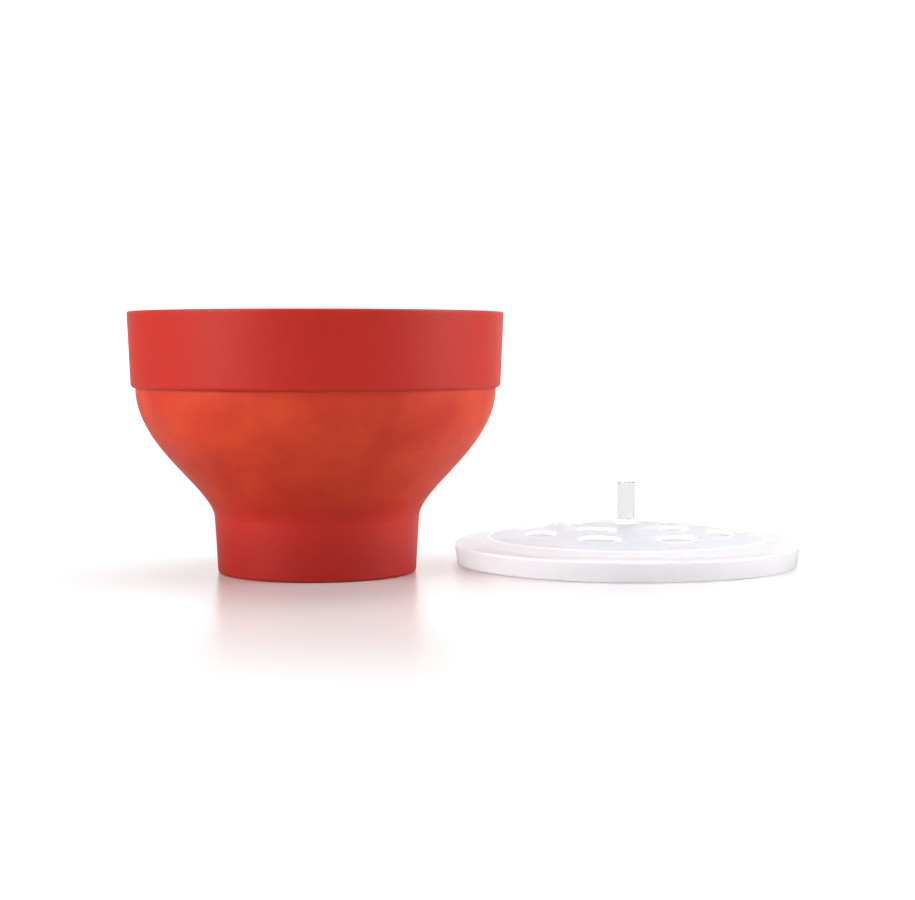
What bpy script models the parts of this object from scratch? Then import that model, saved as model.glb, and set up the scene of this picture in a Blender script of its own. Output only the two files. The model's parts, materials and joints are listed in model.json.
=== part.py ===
"""A collapsible silicone popcorn bowl for a microwave oven, with its domed vented lid lying beside it.

Metres, +Z up. The origin is the middle of the bowl's flat underside, on the surface that it stands on.
The bowl is turned about Z. Its belly wall turns inside out when the rim is pressed down, so the wall is
cut into concentric rings by upright cylinders, and each ring can slide along Z past its neighbours.
"""

import math

import bmesh
import bpy
import numpy as np

# The bowl's overall sizes
BOWL_HEIGHT = 0.1424
RIM_RADIUS = 0.1025

# The stiff band around the mouth
BAND_HEIGHT = 0.0412
BAND_TAPER = 0.0017
BAND_WALL = 0.0026
BAND_CORNER = 0.0022
LIP_CORNER = 0.0010
STEP_WIDTH = 0.0025

# The thin belly wall, a single S-shaped curve from the neck to the step under the band
WALL = 0.0022
NECK_RADIUS = 0.0560
NECK_HEIGHT = 0.0296
NECK_PULL = 0.0163
SHOULDER_PULL = 0.0325

# The foot that the bowl stands on
FOOT_TAPER = 0.0016
FOOT_WALL = 0.0026
FOOT_FLOOR = 0.0030
FOOT_CORNER = 0.0015
FLOOR_FILLET = 0.0040

# The rings of the wall that slide past each other when the bowl folds
RING_COUNT = 6
NECK_MARGIN = 0.0030
STEP_MARGIN = 0.0005
TOUCH_GAP = 0.0003

# The ledge inside the band, on top of the wall, that carries the lid
LEDGE_RISE = 0.0025

# The lid: skirt, soft shoulder, shallow dome, hub and stem
LID_CLEARANCE = 0.0004
LID_WALL = 0.0018
LID_DRAFT = 0.0014
SKIRT_HEIGHT = 0.0102
SHOULDER_RISE = 0.0044
SHOULDER_WIDTH = 0.0203
DOME_RISE = 0.0076
SHOULDER_TILT = 0.0014
HUB_WALL = 0.0009
HUB_RISE = 0.0026
HUB_DEPTH = 0.0075
HUB_CORNER = 0.0006
STEM_RADIUS = 0.0048
STEM_LENGTH = 0.0290
STEM_CORNER = 0.0006
SOCKET_FLOOR = 0.0020

# The steam vents: ovals in two circles on the dome
OUTER_VENTS = 8
OUTER_VENT_CIRCLE = 0.0550
OUTER_VENT_TURN = 25.0
INNER_VENTS = 4
INNER_VENT_CIRCLE = 0.0310
INNER_VENT_TURN = 53.0
VENT_LENGTH = 0.0230
VENT_WIDTH = 0.0130
VENT_SIDES = 16
CUTTER_REACH = 0.0060

# Where the lid lies: its edge stays this far from the neck, in this direction seen from above
LID_GAP = 0.0246
LID_BEARING = 13.65

# How finely round shapes are divided
SEGMENTS = 48
STEM_SEGMENTS = 24
CORNER_STEPS = 3
MERGE = 1e-6

# Sizes that follow from the ones above
BAND_BOTTOM = BOWL_HEIGHT - BAND_HEIGHT
BAND_FOOT_RADIUS = RIM_RADIUS - BAND_TAPER
SHOULDER_RADIUS = BAND_FOOT_RADIUS - STEP_WIDTH
LEDGE_TOP = BAND_BOTTOM + LEDGE_RISE
FOOT_RADIUS = NECK_RADIUS - FOOT_TAPER
SOCKET_RADIUS = STEM_RADIUS + TOUCH_GAP
HUB_RADIUS = SOCKET_RADIUS + HUB_WALL


def band_radius(height):
    """Outer radius of the band, which widens in a straight line from its lower edge to the mouth."""
    return BAND_FOOT_RADIUS + BAND_TAPER * (height - BAND_BOTTOM) / BAND_HEIGHT


LID_RADIUS = band_radius(LEDGE_TOP + SKIRT_HEIGHT) - BAND_WALL - LID_CLEARANCE
LEDGE_RADIUS = SHOULDER_RADIUS - WALL
SHOULDER_INNER = LID_RADIUS - SHOULDER_WIDTH
SHOULDER_TOP = SKIRT_HEIGHT + SHOULDER_RISE
DOME_TOP = SHOULDER_TOP + DOME_RISE
LID_DISTANCE = NECK_RADIUS + LID_GAP + LID_RADIUS
LID_PLACE = (
    LID_DISTANCE * math.cos(math.radians(LID_BEARING)),
    LID_DISTANCE * math.sin(math.radians(LID_BEARING)),
    0.0,
)


def bezier(points, count):
    """Cubic curve through the first and last of four (radius, height) points, pulled by the middle two."""
    a, b, c, d = (np.array(point) for point in points)
    t = np.linspace(0.0, 1.0, count)[:, None]
    return (1 - t) ** 3 * a + 3 * (1 - t) ** 2 * t * b + 3 * (1 - t) * t**2 * c + t**3 * d


def inset(curve, distance):
    """The curve moved towards the axis by a distance measured square to it."""
    slope = np.gradient(curve, axis=0)
    slope /= np.linalg.norm(slope, axis=1)[:, None]
    return curve + distance * np.stack([-slope[:, 1], slope[:, 0]], axis=1)


def arc(centre, radius, start, end, steps=CORNER_STEPS):
    """Points round a corner in the (radius, height) plane; the angles are in degrees from outwards."""
    angles = np.radians(np.linspace(start, end, steps + 1))
    return [(centre[0] + radius * math.cos(a), centre[1] + radius * math.sin(a)) for a in angles]


OUTER_WALL = bezier(
    [
        (NECK_RADIUS, NECK_HEIGHT),
        (NECK_RADIUS, NECK_HEIGHT + NECK_PULL),
        (SHOULDER_RADIUS, BAND_BOTTOM - SHOULDER_PULL),
        (SHOULDER_RADIUS, BAND_BOTTOM),
    ],
    200,
)
INNER_WALL = inset(OUTER_WALL, WALL)


def ring_edges():
    """Radii of the upright cuts, spaced evenly along the wall from the neck to the step."""
    length = np.concatenate([[0.0], np.cumsum(np.linalg.norm(np.diff(OUTER_WALL, axis=0), axis=1))])
    ends = np.interp([NECK_RADIUS + NECK_MARGIN, LEDGE_RADIUS - STEP_MARGIN], OUTER_WALL[:, 0], length)
    return np.interp(np.linspace(*ends, RING_COUNT + 1), length, OUTER_WALL[:, 0])


RING_EDGES = ring_edges()


def wall_side(curve, start, end, steps):
    """Points on one side of the wall from one radius to another."""
    radii = np.linspace(start, end, steps + 1)
    return [(radius, float(np.interp(radius, curve[:, 0], curve[:, 1]))) for radius in radii]


def ring_outline(inner, outer, steps=3):
    """Closed outline of the slice of wall between two upright cylinders."""
    return wall_side(OUTER_WALL, inner, outer, steps) + wall_side(INNER_WALL, outer, inner, steps)


def foot_outline():
    """From the middle of the underside, out and up the foot, over the cut and back down to the floor."""
    cut = RING_EDGES[0] - TOUCH_GAP / 2
    floor_radius = FOOT_RADIUS - FOOT_WALL
    outline = [(0.0, 0.0)]
    outline += arc((FOOT_RADIUS - FOOT_CORNER, FOOT_CORNER), FOOT_CORNER, -90, 0)
    outline += wall_side(OUTER_WALL, NECK_RADIUS, cut, 4)
    outline += wall_side(INNER_WALL, cut, NECK_RADIUS - WALL, 5)
    outline += arc((floor_radius - FLOOR_FILLET, FOOT_FLOOR + FLOOR_FILLET), FLOOR_FILLET, 0, -90)
    outline.append((0.0, FOOT_FLOOR))
    return outline


def lip_outline():
    """The rounded top edge of the band, from its outer side to its inner side."""
    top = BOWL_HEIGHT - LIP_CORNER
    outer = RIM_RADIUS - LIP_CORNER
    inner = RIM_RADIUS - BAND_WALL + LIP_CORNER
    return arc((outer, top), LIP_CORNER, 0, 90) + arc((inner, top), LIP_CORNER, 90, 180)


def band_outline():
    """Up the last of the wall, out under the band, over the lip, down to the ledge and back inside."""
    cut = RING_EDGES[-1] + TOUCH_GAP / 2
    outline = wall_side(OUTER_WALL, cut, SHOULDER_RADIUS, 5)
    outline += arc((BAND_FOOT_RADIUS - BAND_CORNER, BAND_BOTTOM + BAND_CORNER), BAND_CORNER, -90, 0)
    outline += lip_outline()
    outline.append((band_radius(LEDGE_TOP) - BAND_WALL, LEDGE_TOP))
    outline.append((LEDGE_RADIUS, LEDGE_TOP))
    outline += wall_side(INNER_WALL, LEDGE_RADIUS - MERGE, cut, 2)
    return outline


def lid_skin(inset_by=0.0):
    """Half outline of one side of the lid's skin, from the foot of the skirt to the hub."""
    radius = LID_RADIUS - inset_by
    top = SHOULDER_TOP - inset_by
    skirt_top = min(SKIRT_HEIGHT, top - SHOULDER_TILT - MERGE)
    middle = SHOULDER_INNER + SHOULDER_WIDTH / 2
    shoulder = bezier(
        [(radius, skirt_top), (radius, top - SHOULDER_TILT), (middle, top - SHOULDER_TILT), (SHOULDER_INNER, top)],
        7,
    )
    radii = np.linspace(SHOULDER_INNER, HUB_RADIUS, 7)[1:]
    dome = np.stack([radii, top + DOME_RISE * (1 - (radii / SHOULDER_INNER) ** 2)], axis=1)
    skirt_foot = [(radius - LID_DRAFT, 0.0)]
    return skirt_foot + [tuple(point) for point in np.concatenate([shoulder, dome])]


def lid_outline():
    """From the socket's floor, over the hub and down the outer skin, then back inside and under the hub."""
    hub_top = DOME_TOP + HUB_RISE
    hub_bottom = DOME_TOP - HUB_DEPTH
    socket_floor = hub_bottom + SOCKET_FLOOR
    outline = [(0.0, socket_floor), (SOCKET_RADIUS, socket_floor), (SOCKET_RADIUS, hub_top)]
    outline += arc((HUB_RADIUS - HUB_CORNER, hub_top - HUB_CORNER), HUB_CORNER, 90, 0)
    outline += lid_skin()[::-1]
    outline += lid_skin(LID_WALL)
    outline += [(HUB_RADIUS, hub_bottom), (0.0, hub_bottom)]
    return outline


def stem_outline():
    """The clear rod, from the middle of its lower end to the middle of its upper end."""
    bottom = DOME_TOP - HUB_DEPTH + SOCKET_FLOOR + TOUCH_GAP
    top = bottom + STEM_LENGTH
    inner = STEM_RADIUS - STEM_CORNER
    outline = [(0.0, bottom)]
    outline += arc((inner, bottom + STEM_CORNER), STEM_CORNER, -90, 0, 2)
    outline += arc((inner, top - STEM_CORNER), STEM_CORNER, 0, 90, 2)
    outline.append((0.0, top))
    return outline


def silicone():
    """Matt red silicone rubber."""
    return plain_material("red_silicone", (0.58, 0.045, 0.030, 1.0), 0.55)


def milky_plastic():
    """Milky white, see-through plastic of the lid."""
    return plain_material("milky_plastic", (0.88, 0.88, 0.92, 1.0), 0.30)


def clear_plastic():
    """Clear plastic of the stem."""
    return plain_material("clear_plastic", (0.92, 0.93, 0.94, 1.0), 0.08)


def plain_material(name, colour, roughness):
    """A non-metallic surface of one colour."""
    material = bpy.data.materials.get(name) or bpy.data.materials.new(name)
    material.use_nodes = True
    shader = material.node_tree.nodes["Principled BSDF"]
    shader.inputs["Base Color"].default_value = colour
    shader.inputs["Roughness"].default_value = roughness
    shader.inputs["Metallic"].default_value = 0.0
    return material


def spin_profile(mesh, outline, segments, closed):
    """Turns an outline in the XZ plane once round Z and closes the seam."""
    verts = [mesh.verts.new((radius, 0.0, height)) for radius, height in outline]
    edges = [mesh.edges.new(pair) for pair in zip(verts, verts[1:])]
    if closed:
        edges.append(mesh.edges.new((verts[-1], verts[0])))
    bmesh.ops.spin(
        mesh, geom=verts + edges, cent=(0, 0, 0), axis=(0, 0, 1), angle=math.tau, steps=segments, use_merge=False
    )


def turned(name, outline, material, segments=SEGMENTS, parent=None, place=(0, 0, 0)):
    """A solid of revolution; an outline that starts and ends on the axis is left open there."""
    closed = outline[0][0] > 0.0
    mesh = bmesh.new()
    spin_profile(mesh, outline, segments, closed)
    return finished(name, mesh, material, parent, place)


def finished(name, mesh, material, parent, place):
    """Welds the seam, turns the faces outwards and makes the object."""
    bmesh.ops.remove_doubles(mesh, verts=mesh.verts, dist=MERGE)
    bmesh.ops.dissolve_degenerate(mesh, edges=mesh.edges, dist=MERGE)
    bmesh.ops.recalc_face_normals(mesh, faces=mesh.faces)
    data = bpy.data.meshes.new(name)
    mesh.to_mesh(data)
    mesh.free()
    data.materials.append(material)
    data.shade_smooth()
    data.set_sharp_from_angle(angle=math.radians(35))
    piece = bpy.data.objects.new(name, data)
    piece.location = place
    piece.parent = parent
    bpy.context.scene.collection.objects.link(piece)
    return piece


def empty(name, place=(0, 0, 0)):
    """A parent that sits on a joint's axis."""
    holder = bpy.data.objects.new(name, None)
    holder.location = place
    bpy.context.scene.collection.objects.link(holder)
    return holder


def vent_places():
    """(bearing, circle) of each vent, in degrees and metres."""
    outer = [(OUTER_VENT_TURN + 360 * i / OUTER_VENTS, OUTER_VENT_CIRCLE) for i in range(OUTER_VENTS)]
    inner = [(INNER_VENT_TURN + 360 * i / INNER_VENTS, INNER_VENT_CIRCLE) for i in range(INNER_VENTS)]
    return outer + inner


def vent_cutter(parent):
    """Upright oval prisms that reach through the dome, one for each vent."""
    mesh = bmesh.new()
    low = SHOULDER_TOP - CUTTER_REACH
    high = DOME_TOP + CUTTER_REACH
    for bearing, circle in vent_places():
        turn = math.radians(bearing)
        ring = []
        for step in range(VENT_SIDES):
            angle = math.tau * step / VENT_SIDES
            out = circle + VENT_WIDTH / 2 * math.cos(angle)
            along = VENT_LENGTH / 2 * math.sin(angle)
            x = out * math.cos(turn) - along * math.sin(turn)
            y = out * math.sin(turn) + along * math.cos(turn)
            ring.append((x, y))
        base = mesh.faces.new([mesh.verts.new((x, y, low)) for x, y in ring])
        lifted = bmesh.ops.extrude_face_region(mesh, geom=[base])
        corners = [item for item in lifted["geom"] if isinstance(item, bmesh.types.BMVert)]
        bmesh.ops.translate(mesh, vec=(0, 0, high - low), verts=corners)
    cutter = finished("vent_cutter", mesh, milky_plastic(), parent, (0, 0, 0))
    cutter.hide_render = True
    cutter.display_type = "WIRE"
    return cutter


def make_lid(parent):
    """The lid's cover with its vents cut through."""
    cover = turned("lid_cover", lid_outline(), milky_plastic(), parent=parent)
    cut = cover.modifiers.new("vents", "BOOLEAN")
    cut.operation = "DIFFERENCE"
    cut.object = vent_cutter(parent)
    return cover


def make_bowl():
    """The foot, the rings of the wall and the band, each about the bowl's axis."""
    folding = empty("fold_axis")
    turned("bowl_foot", foot_outline(), silicone())
    for index in range(RING_COUNT):
        outline = ring_outline(RING_EDGES[index] + TOUCH_GAP / 2, RING_EDGES[index + 1] - TOUCH_GAP / 2)
        turned(f"wall_ring_{index + 1}", outline, silicone(), parent=folding)
    turned("rim_band", band_outline(), silicone(), parent=folding)


def main():
    for old in list(bpy.data.objects):
        bpy.data.objects.remove(old)
    make_bowl()
    lid_axis = empty("lid_axis", LID_PLACE)
    make_lid(lid_axis)
    turned("lid_stem", stem_outline(), clear_plastic(), STEM_SEGMENTS, lid_axis)


main()
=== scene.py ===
# %% [markdown]
# # A folding popcorn bowl and its lid
#
# The object is a silicone bowl for making popcorn in a microwave oven, with a milky plastic lid lying
# beside it. The bowl is one soft moulding: a narrow foot, a thin belly that turns inside out when the rim
# is pressed down, and a stiff band round the mouth. The lid has a low dome with oval steam vents, and a
# clear stem to lift it by.
#
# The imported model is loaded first. It fixes where everything is and how it moves; this script only makes
# the surfaces and finishes that are seen.

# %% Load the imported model
import json
import math
import bmesh
import bpy
import numpy as np
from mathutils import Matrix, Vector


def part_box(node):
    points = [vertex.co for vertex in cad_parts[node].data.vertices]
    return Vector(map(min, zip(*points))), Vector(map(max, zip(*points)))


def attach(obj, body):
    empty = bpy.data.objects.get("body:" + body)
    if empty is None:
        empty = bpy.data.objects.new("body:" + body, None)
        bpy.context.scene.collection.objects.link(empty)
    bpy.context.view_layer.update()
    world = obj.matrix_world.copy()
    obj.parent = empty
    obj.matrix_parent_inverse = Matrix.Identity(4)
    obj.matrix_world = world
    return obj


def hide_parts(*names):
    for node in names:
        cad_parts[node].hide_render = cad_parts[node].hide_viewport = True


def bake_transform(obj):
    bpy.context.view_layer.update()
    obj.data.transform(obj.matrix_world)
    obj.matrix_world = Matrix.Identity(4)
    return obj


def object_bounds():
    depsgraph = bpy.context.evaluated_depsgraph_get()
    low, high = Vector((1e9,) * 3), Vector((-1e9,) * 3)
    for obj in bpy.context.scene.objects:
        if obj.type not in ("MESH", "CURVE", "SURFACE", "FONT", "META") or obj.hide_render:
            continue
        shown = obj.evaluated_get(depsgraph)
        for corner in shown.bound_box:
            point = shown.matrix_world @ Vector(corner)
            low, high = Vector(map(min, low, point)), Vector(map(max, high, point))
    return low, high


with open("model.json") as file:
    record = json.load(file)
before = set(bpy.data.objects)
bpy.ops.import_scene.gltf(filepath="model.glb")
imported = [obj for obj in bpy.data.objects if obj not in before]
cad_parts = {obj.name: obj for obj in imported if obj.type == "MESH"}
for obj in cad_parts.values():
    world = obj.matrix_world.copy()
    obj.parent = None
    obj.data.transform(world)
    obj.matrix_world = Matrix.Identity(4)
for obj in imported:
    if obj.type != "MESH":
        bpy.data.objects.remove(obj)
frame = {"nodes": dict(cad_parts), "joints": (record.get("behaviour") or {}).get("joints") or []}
cad_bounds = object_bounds()
print("nodes:", sorted(frame["nodes"]))

# %% [markdown]
# ## The camera
#
# The camera comes first, because every later choice is judged through it. A long lens from about a metre
# away keeps the bowl's sides nearly straight. It stands a little lower than the rim and looks slightly
# down, so the rim shows as an almost flat line and the foot as a shallow curve.

# %% Camera
CAMERA_PLACE = (0.0772, -1.013, 0.1245)
LOOK_DOWN = 3.27
LENS = 72.6

camera = bpy.data.objects.new("camera", bpy.data.cameras.new("camera"))
camera.data.lens = LENS
camera.location = CAMERA_PLACE
camera.rotation_euler = (math.radians(90 - LOOK_DOWN), 0, 0)
bpy.context.scene.collection.objects.link(camera)
bpy.context.scene.camera = camera
print("camera looks down by", LOOK_DOWN, "degrees")

# %% [markdown]
# ## Sizes
#
# The big sizes are read from the frame, so the looks follow the model: the rim and its height from the
# band, and the lid's centre and radius from the lid's box. The small ones, such as wall thickness and
# corner radii, repeat the model's own values in metres.

# %% Sizes of the bowl and the lid
rim_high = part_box("rim_band")[1]
RIM_RADIUS = rim_high.x
BOWL_HEIGHT = rim_high.z

BAND_HEIGHT = 0.0412
BAND_TAPER = 0.0017
BAND_WALL = 0.0026
BAND_CORNER = 0.0022
LIP_CORNER = 0.0010
STEP_WIDTH = 0.0025
WALL = 0.0022
NECK_RADIUS = 0.0560
NECK_HEIGHT = 0.0296
NECK_PULL = 0.0163
SHOULDER_PULL = 0.0325
FOOT_TAPER = 0.0016
FOOT_WALL = 0.0026
FOOT_FLOOR = 0.0030
FOOT_CORNER = 0.0015
FLOOR_FILLET = 0.0040
LEDGE_RISE = 0.0025
LEDGE_CORNER = 0.0006
THINNING = 0.024

BAND_BOTTOM = BOWL_HEIGHT - BAND_HEIGHT
BAND_FOOT_RADIUS = RIM_RADIUS - BAND_TAPER
SHOULDER_RADIUS = BAND_FOOT_RADIUS - STEP_WIDTH
LEDGE_TOP = BAND_BOTTOM + LEDGE_RISE
FOOT_RADIUS = NECK_RADIUS - FOOT_TAPER

lid_low, lid_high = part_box("lid_cover")
LID_X = (lid_low.x + lid_high.x) / 2
LID_Y = (lid_low.y + lid_high.y) / 2
LID_RADIUS = (lid_high.x - lid_low.x) / 2
print(f"rim {RIM_RADIUS * 2000:.0f} mm across, {BOWL_HEIGHT * 1000:.0f} mm tall")
print(f"lid {LID_RADIUS * 2000:.1f} mm across, centred on {LID_X * 1000:.1f}, {LID_Y * 1000:.1f} mm")

# %% [markdown]
# ## Drawing a profile
#
# The bowl, the lid's skirt and the stem are all turned shapes, so each begins as a line of (radius,
# height) points. Three small functions draw such a line: a straight run, a corner and a smooth S-curve.
# They return whole arrays, which are later carried round the axis in one step.

# %% Straight runs, corners and curves
def run(start, end, steps):
    """Evenly spaced points on the straight line between two points: start + t (end - start)."""
    t = np.linspace(0.0, 1.0, steps + 1)[:, None]
    return (1 - t) * np.array(start) + t * np.array(end)


def corner(centre, radius, start, end, steps=6):
    """Points on part of a circle: centre + radius (cos a, sin a), with a in degrees from outwards."""
    a = np.radians(np.linspace(start, end, steps + 1))
    return np.stack([centre[0] + radius * np.cos(a), centre[1] + radius * np.sin(a)], axis=1)


def curve(a, b, c, d, steps):
    """Cubic curve from a to d, pulled towards b and c: the Bernstein sum of the four points."""
    t = np.linspace(0.0, 1.0, steps + 1)[:, None]
    a, b, c, d = (np.array(point) for point in (a, b, c, d))
    return (1 - t) ** 3 * a + 3 * (1 - t) ** 2 * t * b + 3 * (1 - t) * t**2 * c + t**3 * d


def smooth(t):
    """Eases from 0 to 1: 3t^2 - 2t^3 of t cut to that range."""
    t = np.clip(t, 0.0, 1.0)
    return t * t * (3 - 2 * t)


print("a quarter circle of radius 1 in two steps:", corner((0, 0), 1, 0, 90, steps=2).round(2).tolist())

# %% [markdown]
# ## The two skins of the folding wall
#
# The belly is a wall 2.2 mm thick, so it has an outer and an inner skin. When the rim goes down, the wall
# rolls over, and its slope changes sign. If the inner skin were drawn square to the outer one at rest, the
# two would meet once folded. Instead each outer point is joined to its inner partner along a line half way
# between the two square directions, at rest and folded. The wall then keeps its thickness both ways.

# %% The belly's outer and inner skin
TRAVEL = -min(next(j for j in frame["joints"] if j["name"] == "collapse")["range_m"])
FOLD_START = 0.034
FOLD_END = 0.098


def belly_skins(steps=96):
    """Outer points, and inner ones at WALL / cos(half the turn) along the mean of the two square lines."""
    outer = curve(
        (NECK_RADIUS, NECK_HEIGHT),
        (NECK_RADIUS, NECK_HEIGHT + NECK_PULL),
        (SHOULDER_RADIUS, BAND_BOTTOM - SHOULDER_PULL),
        (SHOULDER_RADIUS, BAND_BOTTOM),
        steps,
    )
    across, up = np.gradient(outer, axis=0).T
    folded = outer[:, 1] - TRAVEL * smooth((outer[:, 1] - FOLD_START) / (FOLD_END - FOLD_START))
    rest_slope = np.arctan2(up, across)
    folded_slope = np.arctan2(np.gradient(folded), across)
    lean = (rest_slope + folded_slope) / 2
    reach = WALL / np.cos((rest_slope - folded_slope) / 2)
    inner = outer + reach[:, None] * np.stack([-np.sin(lean), np.cos(lean)], axis=1)
    return outer, inner


belly_outer, belly_inner = belly_skins()
partner_reach = np.linalg.norm(belly_inner - belly_outer, axis=1) * 1000
print(f"the rim travels {TRAVEL * 1000:.0f} mm")
print(f"partners are {partner_reach.min():.1f} to {partner_reach.max():.1f} mm apart")

# %% [markdown]
# ## The bowl's whole section
#
# One closed line goes from the middle of the underside, out and up the outside, over the lip, down the
# inside with the ledge that carries the lid, and back to the middle of the floor. Each point also carries
# three numbers: how far its height is lifted (only the belly's inner skin), how thin the wall is there,
# and how near it is to an edge. The finish reads the last two.
#
# The lift deserves a word. The fold moves each point by its height alone. Partners must move together,
# so the inner one is stored level with its outer partner, and a Displace modifier lifts it into place.

# %% The bowl's section
def section_of_bowl():
    """Rows of radius, stored height, lift, thinness and edge, from axis to axis.

    Each part of the line below is (points, 1 if it belongs to the thin belly, 1 if it is an edge).
    """
    band_out = BAND_FOOT_RADIUS + BAND_TAPER * (LEDGE_TOP - BAND_BOTTOM) / BAND_HEIGHT
    ledge_edge = SHOULDER_RADIUS - WALL + LEDGE_CORNER
    floor_edge = FOOT_RADIUS - FOOT_WALL
    top = BOWL_HEIGHT - LIP_CORNER
    inner_part = 11
    parts = [
        (run((0, 0), (FOOT_RADIUS - FOOT_CORNER, 0), 24), 0, 0),
        (corner((FOOT_RADIUS - FOOT_CORNER, FOOT_CORNER), FOOT_CORNER, -90, 0), 0, 1),
        (run((FOOT_RADIUS, FOOT_CORNER), (NECK_RADIUS, NECK_HEIGHT), 18), 0, 0),
        (belly_outer, 1, 0),
        (corner((BAND_FOOT_RADIUS - BAND_CORNER, BAND_BOTTOM + BAND_CORNER), BAND_CORNER, -90, 0, 8), 0, 1),
        (run((BAND_FOOT_RADIUS, BAND_BOTTOM + BAND_CORNER), (RIM_RADIUS, top), 26), 0, 0),
        (corner((RIM_RADIUS - LIP_CORNER, top), LIP_CORNER, 0, 90), 0, 1),
        (corner((RIM_RADIUS - BAND_WALL + LIP_CORNER, top), LIP_CORNER, 90, 180), 0, 1),
        (run((RIM_RADIUS - BAND_WALL, top), (band_out - BAND_WALL, LEDGE_TOP + LEDGE_CORNER), 24), 0, 0),
        (corner((band_out - BAND_WALL - LEDGE_CORNER, LEDGE_TOP + LEDGE_CORNER), LEDGE_CORNER, 0, -90), 0, 0),
        (corner((ledge_edge, LEDGE_TOP - LEDGE_CORNER), LEDGE_CORNER, 90, 180), 0, 1),
        (belly_inner[::-1], 1, 0),
        (run((NECK_RADIUS - WALL, NECK_HEIGHT), (floor_edge, FOOT_FLOOR + FLOOR_FILLET), 12), 0, 0),
        (corner((floor_edge - FLOOR_FILLET, FOOT_FLOOR + FLOOR_FILLET), FLOOR_FILLET, 0, -90, 8), 0, 0),
        (run((floor_edge - FLOOR_FILLET, FOOT_FLOOR), (0, FOOT_FLOOR), 22), 0, 0),
    ]
    counts = [len(part) for part, _, _ in parts]
    points = np.concatenate([part for part, _, _ in parts])
    thin = np.repeat([thin for _, thin, _ in parts], counts)
    thin = thin * smooth((points[:, 1] - NECK_HEIGHT) / THINNING)
    edge = np.repeat([edge for _, _, edge in parts], counts)
    level = points[:, 1].copy()
    start = sum(counts[:inner_part])
    level[start : start + counts[inner_part]] = belly_outer[::-1, 1]
    return np.stack([points[:, 0], level, points[:, 1] - level, thin, edge], axis=1)


bowl_section = section_of_bowl()
print(f"{len(bowl_section)} points round the section; biggest lift {bowl_section[:, 2].max() * 1000:.1f} mm")

# %% [markdown]
# ## From grids to a mesh
#
# Every surface here is a grid: rows along a profile, columns round the axis. A grid that closes on itself
# repeats its first column, and a pole repeats one point. Welding those doubles closes the seams, and the
# faces are then turned outwards. Numbers that belong to the points travel with them as attributes.

# %% Make a mesh from grids
def grid_faces(rows, columns, first):
    """Four corners for each cell of a grid whose points are counted row by row from first."""
    start = first + np.arange(rows - 1)[:, None] * columns + np.arange(columns - 1)
    return np.stack([start, start + 1, start + columns + 1, start + columns], axis=-1).reshape(-1, 4)


def closed_mesh(name, grids, weld=2e-7, **attributes):
    """Grids of (x, y, z) joined into one closed mesh; each attribute holds one array for each grid."""
    points = np.concatenate([grid.reshape(-1, 3) for grid in grids])
    firsts = np.cumsum([0] + [grid.shape[0] * grid.shape[1] for grid in grids])
    faces = np.concatenate([grid_faces(*grid.shape[:2], first) for grid, first in zip(grids, firsts)])
    data = bpy.data.meshes.new(name)
    data.from_pydata(points.tolist(), [], faces.tolist())
    for label, values in attributes.items():
        layer = data.attributes.new(label, "FLOAT", "POINT")
        layer.data.foreach_set("value", np.concatenate([v.ravel() for v in values]).astype(np.float32))
    mesh = bmesh.new()
    mesh.from_mesh(data)
    bmesh.ops.remove_doubles(mesh, verts=mesh.verts, dist=weld)
    bmesh.ops.dissolve_degenerate(mesh, edges=mesh.edges, dist=weld)
    bmesh.ops.recalc_face_normals(mesh, faces=mesh.faces)
    open_edges = sum(1 for edge in mesh.edges if not edge.is_manifold)
    mesh.to_mesh(data)
    mesh.free()
    data.shade_smooth()
    print(f"{name}: {len(data.vertices)} points, {len(data.polygons)} faces, {open_edges} open edges")
    return data


def turned(section, columns, centre=(0.0, 0.0)):
    """Carries (radius, height) rows round Z: x = cx + r cos a, y = cy + r sin a, z = height."""
    a = np.linspace(0.0, math.tau, columns + 1)
    a[-1] = 0.0
    radius, height = section[:, 0:1], section[:, 1:2]
    x = centre[0] + radius * np.cos(a)
    y = centre[1] + radius * np.sin(a)
    return np.stack([x, y, np.broadcast_to(height, x.shape)], axis=-1)


def placed(name, data, material):
    """An object at the origin that shows the mesh in one finish."""
    piece = bpy.data.objects.new(name, data)
    data.materials.append(material)
    bpy.context.scene.collection.objects.link(piece)
    return piece


# %% [markdown]
# ## Node trees in few words
#
# The finishes are built from shader nodes. Two helpers keep them readable: one adds a node and sets its
# sockets, taking either a number or another node's output, and one reads a stored attribute.

# %% Helpers for finishes
def add(tree, kind, output=0, settings=None, **sockets):
    """Adds a node, sets its settings and sockets by name, and returns one of its outputs."""
    made = tree.nodes.new(kind)
    for label, value in (settings or {}).items():
        setattr(made, label, value)
    for label, value in sockets.items():
        socket = made.inputs[int(label[1:])] if label[0] == "_" else made.inputs[label.replace("_", " ")]
        if isinstance(value, bpy.types.NodeSocket):
            tree.links.new(value, socket)
        else:
            socket.default_value = value
    return made.outputs[output]


def finish(name, **sockets):
    """A new material with only a Principled shader, whose sockets are set from plain values."""
    material = bpy.data.materials.new(name)
    material.use_nodes = True
    tree = material.node_tree
    shader = tree.nodes["Principled BSDF"]
    for label, value in sockets.items():
        shader.inputs[label.replace("_", " ")].default_value = value
    return material, tree, shader


def stored(tree, label):
    """The number or vector that the mesh stores under this name."""
    output = 1 if label == "moulded_place" else 2
    return add(tree, "ShaderNodeAttribute", output, {"attribute_name": label})


def between(tree, share, low, high):
    """A colour between two others by a share from 0 to 1."""
    return add(tree, "ShaderNodeMix", 2, {"data_type": "RGBA"}, _0=share, _6=low, _7=high)


def scaled(tree, value, low, high):
    """A number carried from 0..1 to low..high."""
    return add(tree, "ShaderNodeMapRange", Value=value, To_Min=low, To_Max=high)


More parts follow.
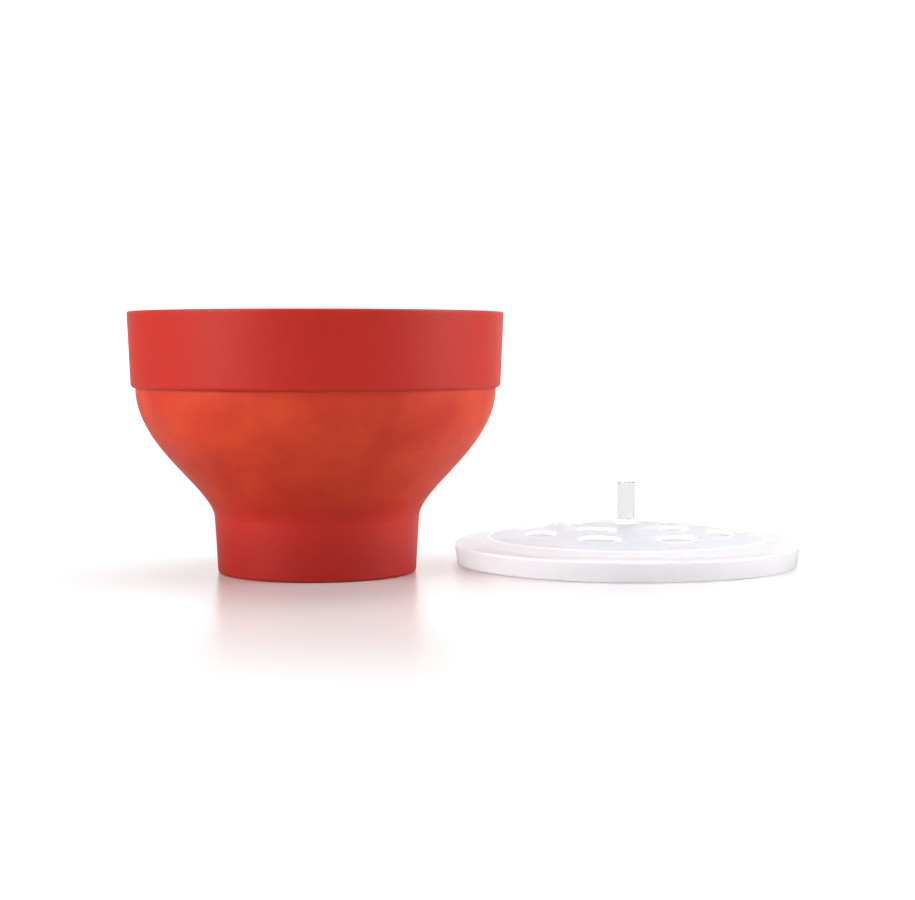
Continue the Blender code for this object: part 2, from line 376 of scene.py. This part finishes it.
print("a Principled shader has", len(finish("try_out")[2].inputs), "sockets")
bpy.data.materials.remove(bpy.data.materials["try_out"])

# %% [markdown]
# ## Red silicone
#
# Silicone rubber is matt and a little see-through. Light enters it and comes out again a few millimetres
# away, deeper in colour, so the finish has scattering under its surface. Where the wall is thin the red is
# painted a lighter orange in soft clouds, a painted glow that stands in for light shining through the thin
# rubber. The foot is painted a deeper red towards the bottom, as painted shade under the band and near the
# floor. The moulding's skin has a very fine grain, and its edges are painted a touch lighter, as painted
# highlights. The patterns read the place that each point had when it was moulded, which is stored on the
# mesh, so they stay on the rubber when the bowl folds.

# %% Silicone finish
EDGE_HIGHLIGHT_SHARE = 0.15
SHADE_FULL_BELOW = 0.012
SHADE_ENDS_ABOVE = 0.034


def red_silicone():
    """Matt red rubber: a painted glow in clouds on the thin wall, painted shade low on the foot, fine grain,
    painted highlights on the edges.
    """
    material, tree, shader = finish(
        "red_silicone",
        Subsurface_Weight=0.35,
        Subsurface_Scale=0.004,
        Specular_IOR_Level=0.40,
    )
    shader.inputs["Subsurface Radius"].default_value = (1.0, 0.22, 0.12)
    place = stored(tree, "moulded_place")
    clouds = add(tree, "ShaderNodeTexNoise", Vector=place, Scale=42.0, Detail=4.0, Roughness=0.6)
    shade = add(tree, "ShaderNodeTexNoise", Vector=place, Scale=9.0, Detail=2.0)
    thick = between(tree, scaled(tree, shade, 0.2, 0.8), (0.56, 0.014, 0.004, 1), (0.62, 0.020, 0.007, 1))
    cloudy = add(tree, "ShaderNodeMapRange", Value=clouds, From_Min=0.34, From_Max=0.66)
    # painted glow: the thin wall gets a lighter orange, standing in for light shining through the rubber
    thin = between(tree, cloudy, (0.65, 0.036, 0.008, 1), (0.76, 0.062, 0.013, 1))
    # painted shade: the red deepens towards the bottom of the foot, standing in for shade under the band and
    # near the floor
    height = add(tree, "ShaderNodeSeparateXYZ", 2, Vector=place)
    above = add(tree, "ShaderNodeMapRange", Value=height, From_Min=SHADE_FULL_BELOW, From_Max=SHADE_ENDS_ABOVE)
    shaded_foot = between(tree, above, (0.49, 0.011, 0.004, 1), thick)
    wall = between(tree, stored(tree, "thin"), shaded_foot, thin)
    # painted highlight: corners and edges are mixed towards a paler red
    edge_highlight = scaled(tree, stored(tree, "edge"), 0.0, EDGE_HIGHLIGHT_SHARE)
    tree.links.new(between(tree, edge_highlight, wall, (0.70, 0.060, 0.035, 1)), shader.inputs["Base Color"])
    grain = add(tree, "ShaderNodeTexNoise", Vector=place, Scale=1800.0, Detail=2.0)
    ripple = add(tree, "ShaderNodeTexNoise", Vector=place, Scale=60.0, Detail=2.0)
    tree.links.new(scaled(tree, shade, 0.46, 0.60), shader.inputs["Roughness"])
    fine = add(tree, "ShaderNodeBump", Strength=0.10, Distance=0.0002, Height=grain)
    waves = add(tree, "ShaderNodeBump", Strength=0.12, Distance=0.0006, Height=ripple, Normal=fine)
    tree.links.new(waves, shader.inputs["Normal"])
    return material


silicone = red_silicone()
print("red silicone uses", len(silicone.node_tree.nodes), "nodes")

# %% [markdown]
# ## The bowl
#
# The section is carried once round the axis, and the Displace modifier lifts the belly's inner skin into
# place. The bowl stands in for the model's foot, wall rings and rim band, which are hidden.

# %% Make the bowl
BOWL_COLUMNS = 192


def spread(values):
    """Repeats one number for each row along that row's columns."""
    return np.repeat(values[:, None], BOWL_COLUMNS + 1, axis=1)


def make_bowl():
    """The one-piece silicone bowl, ready to fold."""
    radius, level, lift, thin, edge = bowl_section.T
    data = closed_mesh(
        "silicone_bowl",
        [turned(bowl_section, BOWL_COLUMNS)],
        lift=[spread(lift)],
        thin=[spread(thin)],
        edge=[spread(edge)],
    )
    bowl = placed("silicone_bowl", data, silicone)
    lifts = np.zeros(len(data.vertices), np.float32)
    data.attributes["lift"].data.foreach_get("value", lifts)
    places = np.zeros(len(data.vertices) * 3, np.float32)
    data.vertices.foreach_get("co", places)
    places = places.reshape(-1, 3)
    places[:, 2] += lifts
    moulded = data.attributes.new("moulded_place", "FLOAT_VECTOR", "POINT")
    moulded.data.foreach_set("vector", places.ravel())
    group = bowl.vertex_groups.new(name="inner_skin")
    for value in np.unique(lifts[lifts > 0]):
        group.add(np.flatnonzero(lifts == value).tolist(), float(value / lifts.max()), "REPLACE")
    lifter = bowl.modifiers.new("lift_inner_skin", "DISPLACE")
    lifter.direction = "Z"
    lifter.mid_level = 0.0
    lifter.strength = float(lifts.max())
    lifter.vertex_group = "inner_skin"
    return bowl


bowl = make_bowl()
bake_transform(bowl)
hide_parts("bowl_foot", *[f"wall_ring_{i}" for i in range(1, 7)], "rim_band")

# %% [markdown]
# ## The lid's plan
#
# Seen from above, the lid's dome is a disc with two circles of oval vents. The disc is cut into rings, and
# the rings that hold vents are cut into equal sectors. In each sector the grid lines run from the oval's
# edge out to the sector's edge, as spokes do. Neighbouring sectors share their edge points, so everything
# welds into one net without a single cut.

# %% Heights of the dome, and the sectors with their vents
LID_WALL = 0.0018
LID_DRAFT = 0.0014
SKIRT_HEIGHT = 0.0102
SHOULDER_RISE = 0.0044
SHOULDER_WIDTH = 0.0203
SHOULDER_TILT = 0.0014
DOME_RISE = 0.0076
VENT_LENGTH = 0.0230
VENT_WIDTH = 0.0130
VENT_ROUND = 0.0008
OUTER_VENTS = (8, 0.0550, 25.0)
INNER_VENTS = (4, 0.0310, 53.0)
LID_COLUMNS = 192
FIRST_COLUMN = math.radians(2.5)

DOME_RADIUS = LID_RADIUS - SHOULDER_WIDTH
DOME_FOOT = SKIRT_HEIGHT + SHOULDER_RISE
RING_EDGES = (0.0180, 0.0430, 0.0680)


def dome(radius):
    """Height of the dome's top: a shallow bowl-shaped curve, foot + rise (1 - (r / R)^2)."""
    return DOME_FOOT + DOME_RISE * (1 - (radius / DOME_RADIUS) ** 2)


def on_lid(plan, height):
    """(x, y) from the lid's centre and a height become a place in the frame."""
    return np.stack([plan[..., 0] + LID_X, plan[..., 1] + LID_Y, height], axis=-1)


def polar(radius, bearing):
    """Radius and bearing become x = r cos b, y = r sin b."""
    return np.stack([radius * np.cos(bearing), radius * np.sin(bearing)], axis=-1)


def sector_edge(inner, outer, start, end, across, along):
    """Round a sector: out along its start, round the outside, back along its end, round the inside."""
    side = np.linspace(inner, outer, along + 1)
    span = np.linspace(start, end, across + 1)
    radius = np.concatenate([side[:-1], np.full(across, outer), side[:0:-1], np.full(across + 1, inner)])
    bearing = np.concatenate([np.full(along, start), span[:-1], np.full(along, end), span[::-1]])
    return polar(radius, bearing)


def vent_oval(edge, circle, bearing, grow):
    """The oval's point on each spoke: centre + (w cos t) outwards + (l sin t) sideways."""
    out = np.array([math.cos(bearing), math.sin(bearing)])
    along = np.array([-math.sin(bearing), math.cos(bearing)])
    from_vent = edge - circle * out
    half_width = VENT_WIDTH / 2 + grow
    half_length = VENT_LENGTH / 2 + grow
    t = np.arctan2(from_vent @ along / half_length, from_vent @ out / half_width)
    return (circle + half_width * np.cos(t)[:, None]) * out + half_length * np.sin(t)[:, None] * along


print(f"the dome rises from {DOME_FOOT * 1000:.1f} to {dome(0.0) * 1000:.1f} mm")

# %% [markdown]
# ## Skins and vents
#
# The same plan serves the top and the underside, which lies one wall lower. Where a vent is, a short
# strip rounds over from the top, goes through the wall and rounds off again below. It is the same oval
# drawn several times, each a little wider and a little deeper than the one before.

# %% Skins and vents of the lid
SPOKE_STEPS = (0.0, 0.06, 0.15, 0.30, 0.50, 0.75, 1.0)


def vent_grids(count, circle, first_bearing, inner, outer, side_steps):
    """For each sector with its vent: top skin, rounded edge of the vent, and underside."""
    spokes = np.array(SPOKE_STEPS)[:, None, None]
    turns = np.radians(np.linspace(90, 0, 5))
    grow = VENT_ROUND * (1 - np.cos(turns))
    grow = np.concatenate([grow, grow[::-1]])
    depth = VENT_ROUND * (1 - np.sin(turns))
    depth = np.concatenate([depth, LID_WALL - depth[::-1]])
    across = LID_COLUMNS // count
    width = math.tau / count
    first_edge = math.radians(first_bearing) - width / 2
    step = math.tau / LID_COLUMNS
    first_edge = FIRST_COLUMN + step * round((first_edge - FIRST_COLUMN) / step)
    grids = []
    for index in range(count):
        bearing = math.radians(first_bearing) + index * width
        start = first_edge + index * width
        edge = sector_edge(inner, outer, start, start + width, across, side_steps)
        oval = vent_oval(edge, circle, bearing, VENT_ROUND)
        plan = oval + spokes * (edge - oval)
        height = dome(np.linalg.norm(plan, axis=-1))
        ovals = np.stack([vent_oval(edge, circle, bearing, g) for g in grow])
        through = dome(np.linalg.norm(ovals, axis=-1)) - depth[:, None]
        grids += [on_lid(plan, height), on_lid(ovals, through), on_lid(plan, height - LID_WALL)]
    return grids


def plain_ring(inner, outer, rows):
    """Top skin and underside of a ring of the dome that has no vents."""
    bearing = FIRST_COLUMN + np.linspace(0, math.tau, LID_COLUMNS + 1)
    radius = np.linspace(inner, outer, rows + 1)[:, None]
    plan = polar(radius + 0 * bearing, bearing + 0 * radius)
    height = dome(radius + 0 * bearing)
    return [on_lid(plan, height), on_lid(plan, height - LID_WALL)]


inner, middle, outer = RING_EDGES
vents = vent_grids(*INNER_VENTS, inner, middle, 24) + vent_grids(*OUTER_VENTS, middle, outer, 20)
skins = vents + plain_ring(outer, DOME_RADIUS, 5)
print(len(vents) // 3, "vents, and", len(skins), "grids in the dome")

# %% [markdown]
# ## Rim of the lid
#
# The rim needs no plan: it is a turned profile that runs from the dome's edge over the shoulder, down the
# skirt, round its foot and back up the inside. A low bead marks the line where the dome begins.

# %% Shoulder, skirt and bead
BEAD_RISE = 0.0003
BEAD_WIDTH = 0.0016


def bead(radius):
    """A low round bead just outside the dome's edge: half a cosine, 0 at both of its sides."""
    turn = np.clip((radius - DOME_RADIUS) / BEAD_WIDTH, 0.0, 1.0) * math.tau
    return (1 - np.cos(turn)) / 2


def shoulder(inset, steps=72):
    """The soft shoulder of one skin, from the top of the skirt to the edge of the dome."""
    radius = LID_RADIUS - inset
    top = DOME_FOOT - inset
    middle = DOME_RADIUS + SHOULDER_WIDTH / 2
    skirt_top = min(SKIRT_HEIGHT, top - SHOULDER_TILT)
    low = top - SHOULDER_TILT
    rows = curve((radius, skirt_top), (radius, low), (middle, low), (DOME_RADIUS, top), steps)
    if inset == 0:
        rows[:, 1] += BEAD_RISE * bead(rows[:, 0])
    return rows


def rim_section():
    """From the dome's edge over the shoulder, down the skirt, round its foot and back up the inside."""
    half = LID_WALL / 2
    foot = LID_RADIUS - LID_DRAFT
    outside = shoulder(0.0)
    inside = shoulder(LID_WALL)
    return np.concatenate([
        outside[::-1],
        run(outside[0], (foot, half), 12),
        corner((foot - half, half), half, 0, -180, 10),
        run((foot - LID_WALL, half), inside[0], 10),
        inside,
    ])


def turned_on_lid(section):
    """Carries a profile round the lid's own axis, starting at the plan's first column."""
    bearing = FIRST_COLUMN + np.linspace(0, math.tau, LID_COLUMNS + 1)
    plan = polar(section[:, 0:1] + 0 * bearing, bearing + 0 * section[:, 0:1])
    return on_lid(plan, section[:, 1:2] + 0 * bearing)


print(len(rim_section()), "points in the rim's profile")

# %% [markdown]
# ## Hub and socket
#
# The stem is pressed into a short hub that stands on the dome and reaches down inside it. The outer line
# flares a little where it meets the dome, as a moulding does, and its top edge is rounded. The underside
# of the hub closes over the axis.

# %% Section of the hub
stem_low, stem_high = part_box("lid_stem")
STEM_RADIUS = (stem_high.x - stem_low.x) / 2
SOCKET_GAP = 0.0003
HUB_WALL = 0.0009
HUB_CORNER = 0.0004
HUB_FLARE = 0.0012
HUB_TOP = lid_high.z
HUB_DEPTH = 0.0075


def hub_sections():
    """Two profiles: dome to socket floor over the hub's top, and the underside to the axis."""
    socket = STEM_RADIUS + SOCKET_GAP
    hub = socket + HUB_WALL
    floor = stem_low.z - SOCKET_GAP
    bottom = dome(0.0) - HUB_DEPTH
    flare = curve(
        (RING_EDGES[0], dome(RING_EDGES[0])),
        (hub + 2 * HUB_FLARE, dome(hub + 2 * HUB_FLARE)),
        (hub, dome(hub)),
        (hub, dome(hub) + HUB_FLARE),
        12,
    )
    over = np.concatenate([
        flare,
        corner((hub - HUB_CORNER, HUB_TOP - HUB_CORNER), HUB_CORNER, 0, 90),
        corner((socket + HUB_CORNER, HUB_TOP - HUB_CORNER), HUB_CORNER, 90, 180),
        run((socket, HUB_TOP - HUB_CORNER), (socket, floor), 6),
        run((socket, floor), (0, floor), 4),
    ])
    low = dome(np.array([RING_EDGES[0], hub])) - LID_WALL
    under = np.concatenate([
        run((RING_EDGES[0], low[0]), (hub + HUB_FLARE, dome(hub + HUB_FLARE) - LID_WALL), 8),
        run((hub, dome(hub + HUB_FLARE) - LID_WALL - HUB_FLARE), (hub, bottom + HUB_CORNER), 4),
        corner((hub - HUB_CORNER, bottom + HUB_CORNER), HUB_CORNER, 0, -90),
        run((hub - HUB_CORNER, bottom), (0, bottom), 4),
    ])
    return over, under


print(f"the hub stands {(HUB_TOP - dome(0.0)) * 1000:.1f} mm above the dome")

# %% [markdown]
# ## Milky plastic
#
# The lid is polypropylene, milky and satin. It lets light through without showing what is behind it. The
# dome is painted darker and bluer and the skirt lighter and warmer, as shaded and lit copies of one plastic.
# The walls of the vents are less clear and painted whiter, a painted highlight, and so, in part, are the
# bead and the ground round the hub. The skin has a fine moulded grain, and faint handling marks that change
# its roughness.

# %% Lid finish
CLEARNESS = 0.80


def milky_plastic():
    """Satin, milky polypropylene: a painted highlight on the vents' walls, the skirt painted lighter and
    warmer than the dome.
    """
    material, tree, shader = finish(
        "milky_plastic",
        Subsurface_Weight=0.6,
        Subsurface_Scale=0.006,
        IOR=1.49,
        Specular_IOR_Level=0.12,
    )
    shader.inputs["Subsurface Radius"].default_value = (1.0, 0.95, 0.95)
    place = add(tree, "ShaderNodeTexCoord", 3)
    drift = add(tree, "ShaderNodeTexNoise", Vector=place, Scale=14.0, Detail=2.0)
    edge = stored(tree, "edge")
    tree.links.new(scaled(tree, edge, CLEARNESS, 0.0), shader.inputs["Transmission Weight"])
    # painted light: the dome is painted darker and bluer, the skirt lighter and warmer, as shaded and lit
    # copies of one plastic
    dome_shaded_tint = between(tree, drift, (0.79, 0.795, 0.86, 1), (0.82, 0.825, 0.88, 1))
    skirt_lit_tint = between(tree, drift, (0.88, 0.855, 0.88, 1), (0.90, 0.875, 0.90, 1))
    body = between(tree, stored(tree, "skirt"), dome_shaded_tint, skirt_lit_tint)
    # painted highlight: where the edge number is high, the colour is mixed towards white
    tree.links.new(between(tree, edge, body, (0.98, 0.98, 1.00, 1)), shader.inputs["Base Color"])
    grain = add(tree, "ShaderNodeTexNoise", Vector=place, Scale=2200.0, Detail=1.0)
    marks = add(tree, "ShaderNodeTexNoise", Vector=place, Scale=120.0, Detail=4.0, Roughness=0.65)
    tree.links.new(scaled(tree, marks, 0.26, 0.44), shader.inputs["Roughness"])
    fine = add(tree, "ShaderNodeBump", Strength=0.06, Distance=0.0002, Height=grain)
    tree.links.new(fine, shader.inputs["Normal"])
    return material


milky = milky_plastic()
print("milky plastic uses", len(milky.node_tree.nodes), "nodes")

# %% [markdown]
# ## The lid
#
# Skins, vents, rim and hub are welded into one closed net. Two numbers go with its points, for the finish:
# one says where the skirt begins, which is painted lighter than the dome, and the other where the plastic
# is less clear and carries a painted highlight, fully in the vents' walls and partly on the bead and round
# the hub.

# %% Make the lid
HIGHLIGHT_SHARE = 0.6
HUB_HIGHLIGHT_RADIUS = 0.0090


def make_lid():
    """The lid's cover as one closed net: vents, dome, rim and hub."""
    grids = skins + [turned_on_lid(section) for section in (rim_section(), *hub_sections())]
    from_axis = [np.linalg.norm(grid[..., :2] - (LID_X, LID_Y), axis=-1) for grid in grids]
    skirt = [smooth((radius - DOME_RADIUS) / BEAD_WIDTH) for radius in from_axis]
    edge = [np.zeros(g.shape[:2]) for g in grids]
    # painted highlight: the vents' walls are fully painted white, the bead and the hub only in part
    for index in range(1, len(vents), 3):
        edge[index] += 1.0
    edge[-3] = HIGHLIGHT_SHARE * bead(from_axis[-3])
    edge[-2] = HIGHLIGHT_SHARE * smooth((HUB_HIGHLIGHT_RADIUS - from_axis[-2]) / (HUB_HIGHLIGHT_RADIUS - STEM_RADIUS))
    data = closed_mesh("lid_shell", grids, skirt=skirt, edge=edge)
    return placed("lid_shell", data, milky)


lid = make_lid()
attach(lid, "lid")
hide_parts("lid_cover")

# %% [markdown]
# ## The clear stem
#
# The stem is a polished rod of clear plastic. It needs little shape, only slightly rounded ends, but a
# true glass-like shader: it bends the light behind it, which makes its sides look darker than its middle.

# %% Stem finish
def clear_plastic():
    """Polished clear plastic with faint rubbing marks."""
    material, tree, shader = finish("clear_plastic", IOR=1.49, Transmission_Weight=1.0)
    place = add(tree, "ShaderNodeTexCoord", 3)
    marks = add(tree, "ShaderNodeTexNoise", Vector=place, Scale=300.0, Detail=3.0)
    tint = between(tree, marks, (0.80, 0.80, 0.805, 1), (0.84, 0.845, 0.845, 1))
    tree.links.new(tint, shader.inputs["Base Color"])
    tree.links.new(scaled(tree, marks, 0.03, 0.12), shader.inputs["Roughness"])
    return material


clear = clear_plastic()
print("clear plastic uses", len(clear.node_tree.nodes), "nodes")

# %% [markdown]
# ## Turning the stem
#
# The rod is turned about the lid's own axis. Its lower end goes into the hub's socket, with a small gap
# round it, so that both surfaces stay apart and the clear plastic shows its true edge.

# %% Make the stem
STEM_CORNER = 0.0006
STEM_COLUMNS = 96


def make_stem():
    """A rod with rounded ends, turned about the lid's axis."""
    low = stem_low.z
    high = stem_high.z
    side = STEM_RADIUS - STEM_CORNER
    section = np.concatenate([
        run((0, low), (side, low), 4),
        corner((side, low + STEM_CORNER), STEM_CORNER, -90, 0),
        run((STEM_RADIUS, low + STEM_CORNER), (STEM_RADIUS, high - STEM_CORNER), 12),
        corner((side, high - STEM_CORNER), STEM_CORNER, 0, 90),
        run((side, high), (0, high), 4),
    ])
    data = closed_mesh("stem_rod", [turned(section, STEM_COLUMNS, (LID_X, LID_Y))])
    return placed("stem_rod", data, clear)


stem = make_stem()
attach(stem, "lid")
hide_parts("lid_stem")

# %% [markdown]
# ## The floor
#
# The object stands on white, slightly glossy paper, which mirrors the bowl's foot softly. Real studio
# paper curves up behind the object, so that no horizon shows. Here the floor fades to plain white with the
# distance from the object instead, which looks the same from every side. Light that bounces off the floor
# finds it grey, or the bowl's underside would be too bright.

# %% Paper floor
FLOOR_SIZE = 3.0
FLOOR_DROP = 0.0001
FADE_STARTS = 0.19
FADE_ENDS = 0.40
SEEN_WHITE = 1.05


def white_paper():
    """Glossy paper that fades to white; rays that don't come from the camera find it grey."""
    material, tree, shader = finish(
        "white_paper",
        Base_Color=(0.62, 0.62, 0.62, 1),
        Roughness=0.28,
        Emission_Color=(1, 1, 1, 1),
        Emission_Strength=0.05,
    )
    place = add(tree, "ShaderNodeTexCoord", "Object")
    middle = ((cad_bounds[0][0] + cad_bounds[1][0]) / 2, 0, 0)
    far = add(tree, "ShaderNodeVectorMath", "Value", {"operation": "DISTANCE"}, _0=place, _1=middle)
    ease = {"interpolation_type": "SMOOTHSTEP"}
    fade = add(tree, "ShaderNodeMapRange", 0, ease, Value=far, From_Min=FADE_STARTS, From_Max=FADE_ENDS)
    white = add(tree, "ShaderNodeEmission", Strength=SEEN_WHITE)
    sweep = add(tree, "ShaderNodeMixShader", 0, _0=fade, _1=shader.outputs[0], _2=white)
    grey = add(tree, "ShaderNodeBsdfDiffuse", Color=(0.46, 0.46, 0.46, 1))
    direct = add(tree, "ShaderNodeLightPath", 0)
    through = add(tree, "ShaderNodeLightPath", "Is Transmission Ray")
    seen = add(tree, "ShaderNodeMath", 0, {"operation": "MAXIMUM"}, _0=direct, _1=through)
    shown = add(tree, "ShaderNodeMixShader", 0, _0=seen, _1=grey, _2=sweep)
    tree.links.new(shown, tree.nodes["Material Output"].inputs["Surface"])
    return material


def flat_sheet(name, corners, material):
    """One four-cornered face that is part of the stage, not of the object."""
    data = bpy.data.meshes.new(name)
    data.from_pydata(corners, [], [(0, 1, 2, 3)])
    sheet = placed(name, data, material)
    return sheet


half, low = FLOOR_SIZE, -FLOOR_DROP
floor_corners = [(-half, -half, low), (half, -half, low), (half, half, low), (-half, half, low)]
flat_sheet("floor", floor_corners, white_paper())
print("the floor is", 2 * FLOOR_SIZE, "m wide")

# %% [markdown]
# ## The backdrop
#
# A lit wall stands behind the object. The floor and the clear stem mirror it, and that makes both look
# bright. It gives no light to matt surfaces, which the soft lights do better.

# %% Lit wall
def lit_wall():
    """A plain glowing white."""
    material = bpy.data.materials.new("lit_wall")
    material.use_nodes = True
    tree = material.node_tree
    glow = add(tree, "ShaderNodeEmission", Strength=1.5)
    tree.links.new(glow, tree.nodes["Material Output"].inputs["Surface"])
    return material


wall_corners = [(-1.1, 1.6, 0), (1.3, 1.6, 0), (1.3, 1.6, 1.0), (-1.1, 1.6, 1.0)]
backdrop = flat_sheet("backdrop", wall_corners, lit_wall())
backdrop.visible_diffuse = False
print("the lit wall stands", wall_corners[0][1], "m behind the bowl's axis")

# %% [markdown]
# ## The room
#
# The room is a plain sky. It is dim on the camera's side, which keeps the bowl's front a deep red, and
# brighter on the far side and above. Where the camera sees it directly it is white.

# %% Room light
def make_room(front, back, above, seen):
    """Light that grows from the camera's side to the far side and upwards; seen directly it is white."""
    world = bpy.data.worlds.new("room")
    world.use_nodes = True
    tree = world.node_tree
    ground = tree.nodes["Background"]
    direction = add(tree, "ShaderNodeTexCoord", 0)
    depth = add(tree, "ShaderNodeSeparateXYZ", 1, Vector=direction)
    height = add(tree, "ShaderNodeSeparateXYZ", 2, Vector=direction)
    level = add(tree, "ShaderNodeMapRange", Value=depth, From_Min=-1.0, To_Min=front, To_Max=back)
    rising = add(tree, "ShaderNodeMapRange", Value=height)
    light = add(tree, "ShaderNodeMix", 0, _0=rising, _2=level, _3=above)
    direct = add(tree, "ShaderNodeLightPath", 0)
    strength = add(tree, "ShaderNodeMix", 0, _0=direct, _2=light, _3=seen)
    tree.links.new(strength, ground.inputs["Strength"])
    ground.inputs["Color"].default_value = (1, 1, 1, 1)
    bpy.context.scene.world = world


make_room(front=0.10, back=0.50, above=0.55, seen=SEEN_WHITE)
print("room light made:", bpy.context.scene.world.name)

# %% [markdown]
# ## Soft lights
#
# A broad soft light on each side draws the long pale bands down the bowl, and one above fills in. Light
# sinks into the milky lid, so it needs more of it than the bowl, and gets three low lights of its own. They
# are linked to the lid and its stem only, and leave the bowl and the floor as they are.

# %% Soft lights
def soft_light(name, place, target, width, height, power, only=()):
    """A rectangular soft light turned to face a point; it may be kept for a few pieces only."""
    data = bpy.data.lights.new(name, "AREA")
    data.shape = "RECTANGLE"
    data.size = width
    data.size_y = height
    data.energy = power
    light = bpy.data.objects.new(name, data)
    light.location = place
    away = np.array(place) - np.array(target)
    turn = math.atan2(away[1], away[0]) + math.pi / 2
    tip = math.acos(away[2] / np.linalg.norm(away))
    light.rotation_euler = (tip, 0, turn)
    light.visible_camera = False
    bpy.context.scene.collection.objects.link(light)
    if only:
        group = bpy.data.collections.new(name + "_pieces")
        light.light_linking.receiver_collection = group
        light.light_linking.blocker_collection = group
        for piece in only:
            group.objects.link(piece)


BELLY = (0, 0, 0.07)
LID_MIDDLE = (LID_X, LID_Y, 0.01)
LID_LIGHT_HEIGHT = 0.22

soft_light("left_softbox", (-1.17, -0.80, 0.80), BELLY, 0.6, 1.3, 19)
soft_light("right_softbox", (1.45, -0.10, 0.80), BELLY, 0.7, 1.3, 18)
soft_light("top_softbox", (0.10, 0.35, 1.60), (0.08, 0, 0), 1.2, 0.9, 15)
for side, x, y, power in (("left", -0.80, -0.15, 24), ("front", 0.15, -1.15, 5), ("right", 1.05, -0.20, 13)):
    name = side + "_lid_light"
    soft_light(name, (x, y, LID_LIGHT_HEIGHT), LID_MIDDLE, 0.8, 0.3, power, only=(lid, stem))
bpy.context.scene.view_settings.view_transform = "Standard"
